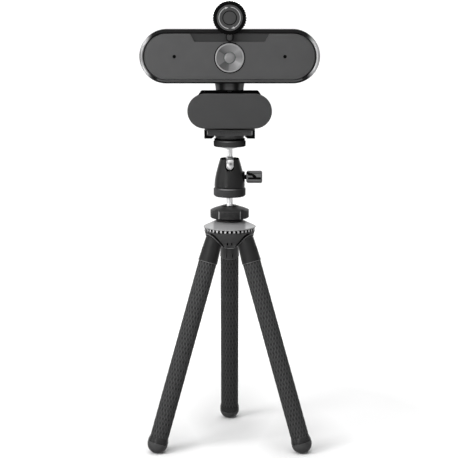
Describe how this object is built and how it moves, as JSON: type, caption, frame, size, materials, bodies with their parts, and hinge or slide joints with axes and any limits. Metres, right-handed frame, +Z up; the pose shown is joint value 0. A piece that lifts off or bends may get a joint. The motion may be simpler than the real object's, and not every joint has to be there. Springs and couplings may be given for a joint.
{
  "type": "webcam on tripod",
  "caption": "Wide webcam with a swinging privacy cover on a folding monitor clip, held by a ball head on a small tripod with flexible legs.",
  "frame": {"origin": "middle of the bounding box in plan, on the floor under the feet", "axes": "+Z up, the lens looks along -Y, +X is the right side as one faces the lens"},
  "size_m": [0.123, 0.1011, 0.3114],
  "materials": {
    "satin_grey": "satin grey moulding",
    "gloss_black": "glossy black moulding",
    "matt_black": "fine matt black moulding",
    "black_metal": "matt black coating on light alloy",
    "hub_grey": "dark grey moulding",
    "silver": "satin silver",
    "lens_steel": "fine turned finish",
    "chrome": "polished",
    "steel": "plain steel",
    "aluminium": "soft wire",
    "brass": "plain brass",
    "rubber": "matt black rubber",
    "foam": "rubbery sleeve with a fine leaf pattern",
    "glass": "dark coated glass",
    "silicon": "dark chip",
    "circuit_board": "green board",
    "black_plastic": "plain black plastic"
  },
  "bodies": {
    "hub": {"hub_skirt": "hub_grey", "tooth_ring": "silver", "hub_cap": "silver", "tripod_stud": "chrome", "leg_socket_left": "gloss_black", "leg_socket_right": "gloss_black", "leg_socket_back": "gloss_black"},
    "leg_upper_left": {"sleeve_upper_left": "foam", "core_upper_left": "aluminium"},
    "leg_lower_left": {"sleeve_lower_left": "foam", "core_lower_left": "aluminium", "foot_left": "rubber"},
    "leg_upper_right": {"sleeve_upper_right": "foam", "core_upper_right": "aluminium"},
    "leg_lower_right": {"sleeve_lower_right": "foam", "core_lower_right": "aluminium", "foot_right": "rubber"},
    "leg_upper_back": {"sleeve_upper_back": "foam", "core_upper_back": "aluminium"},
    "leg_lower_back": {"sleeve_lower_back": "foam", "core_lower_back": "aluminium", "foot_back": "rubber"},
    "nut_collar": {"nut_collar": "matt_black"},
    "lock_nut": {"lock_nut": "matt_black"},
    "head": {"base_ring": "black_metal", "head_housing": "black_metal", "ball_cup": "black_plastic"},
    "clamp_shoe": {"clamp_shoe": "brass"},
    "clamp_knob": {"clamp_knob": "black_metal", "clamp_screw": "steel"},
    "ball": {"ball_and_neck": "chrome"},
    "platform": {"platform_disc": "black_metal", "platform_pad": "rubber", "camera_screw": "steel", "thread_insert": "brass", "clip_leg": "matt_black", "leg_pad_left": "rubber", "leg_pad_right": "rubber", "clip_hinge_pin": "steel"},
    "clip_top": {"clip_bracket": "matt_black", "clip_front_plate": "satin_grey", "grip_pad": "rubber"},
    "swivel": {"swivel_column": "gloss_black", "swivel_screw": "steel"},
    "webcam": {"front_bezel": "gloss_black", "rear_case": "matt_black", "front_panel": "satin_grey", "lens_ring": "lens_steel", "lens_glass": "glass", "lens_barrel": "black_plastic", "main_board": "circuit_board", "image_sensor": "silicon", "microphone_left": "steel", "microphone_right": "steel", "cable_inlet": "rubber", "tilt_pin": "steel"},
    "cover": {"cover_disc": "matt_black", "cover_face": "satin_grey", "cover_arm": "matt_black", "cover_pin": "steel"}
  },
  "joints": [
    {"name": "leg_root_left", "type": "hinge", "parent": "hub", "child": "leg_upper_left", "pos_m": [-0.01637, -0.02307, 0.12736], "axis": [-0.5, 0.866, 0], "range_deg": [-18, 55]},
    {"name": "leg_bend_left", "type": "hinge", "parent": "leg_upper_left", "child": "leg_lower_left", "pos_m": [-0.03287, -0.0326, 0.06836], "axis": [0.5, -0.866, 0], "range_deg": [-45, 90]},
    {"name": "leg_root_right", "type": "hinge", "parent": "hub", "child": "leg_upper_right", "pos_m": [0.01637, -0.02307, 0.12736], "axis": [-0.5, -0.866, 0], "range_deg": [-18, 55]},
    {"name": "leg_bend_right", "type": "hinge", "parent": "leg_upper_right", "child": "leg_lower_right", "pos_m": [0.03287, -0.0326, 0.06836], "axis": [0.5, 0.866, 0], "range_deg": [-45, 90]},
    {"name": "leg_root_back", "type": "hinge", "parent": "hub", "child": "leg_upper_back", "pos_m": [0, 0.00527, 0.12736], "axis": [1, 0, 0], "range_deg": [-18, 55]},
    {"name": "leg_bend_back", "type": "hinge", "parent": "leg_upper_back", "child": "leg_lower_back", "pos_m": [0, 0.02433, 0.06836], "axis": [-1, 0, 0], "range_deg": [-45, 90]},
    {"name": "nut_lift", "type": "slide", "parent": "hub", "child": "nut_collar", "axis": [0, 0, 1], "range_m": [0, 0.00571]},
    {"name": "nut_turn", "type": "hinge", "parent": "nut_collar", "child": "lock_nut", "pos_m": [0, -0.01363, 0.1653], "axis": [0, 0, 1], "range_deg": [0, 1621]},
    {"name": "head_pan", "type": "hinge", "parent": "hub", "child": "head", "pos_m": [0, -0.01363, 0.1795], "axis": [0, 0, 1], "range_deg": [-180, 180]},
    {"name": "ball_tilt", "type": "hinge", "parent": "head", "child": "ball", "pos_m": [0, -0.01363, 0.1982], "axis": [1, 0, 0], "range_deg": [-25, 90]},
    {"name": "platform_spin", "type": "hinge", "parent": "ball", "child": "platform", "pos_m": [0, -0.01363, 0.2119], "axis": [0, 0, 1], "continuous": true},
    {"name": "clamp_slide", "type": "slide", "parent": "head", "child": "clamp_shoe", "axis": [1, 0, 0], "range_m": [0, 0.0012]},
    {"name": "clamp_turn", "type": "hinge", "parent": "clamp_shoe", "child": "clamp_knob", "pos_m": [0.012, -0.01363, 0.1899], "axis": [1, 0, 0], "range_deg": [0, 541]},
    {"name": "clip_hinge", "type": "hinge", "parent": "platform", "child": "clip_top", "pos_m": [0, -0.00303, 0.2447], "axis": [-1, 0, 0], "range_deg": [0, 90]},
    {"name": "cam_swivel", "type": "hinge", "parent": "clip_top", "child": "swivel", "pos_m": [0, -0.01363, 0.2502], "axis": [0, 0, 1], "range_deg": [-180, 180]},
    {"name": "cam_tilt", "type": "hinge", "parent": "swivel", "child": "webcam", "pos_m": [0, -0.01363, 0.2599], "axis": [1, 0, 0], "range_deg": [-20, 20]},
    {"name": "cover_swing", "type": "hinge", "parent": "webcam", "child": "cover", "pos_m": [0, -0.02763, 0.2865], "axis": [0, 1, 0], "range_deg": [0, 180]}
  ],
  "couplings": [
    {"joint": "nut_turn", "follows": "nut_lift", "rad_per_m": 4947.4},
    {"joint": "clamp_turn", "follows": "clamp_slide", "rad_per_m": 7854}
  ]
}
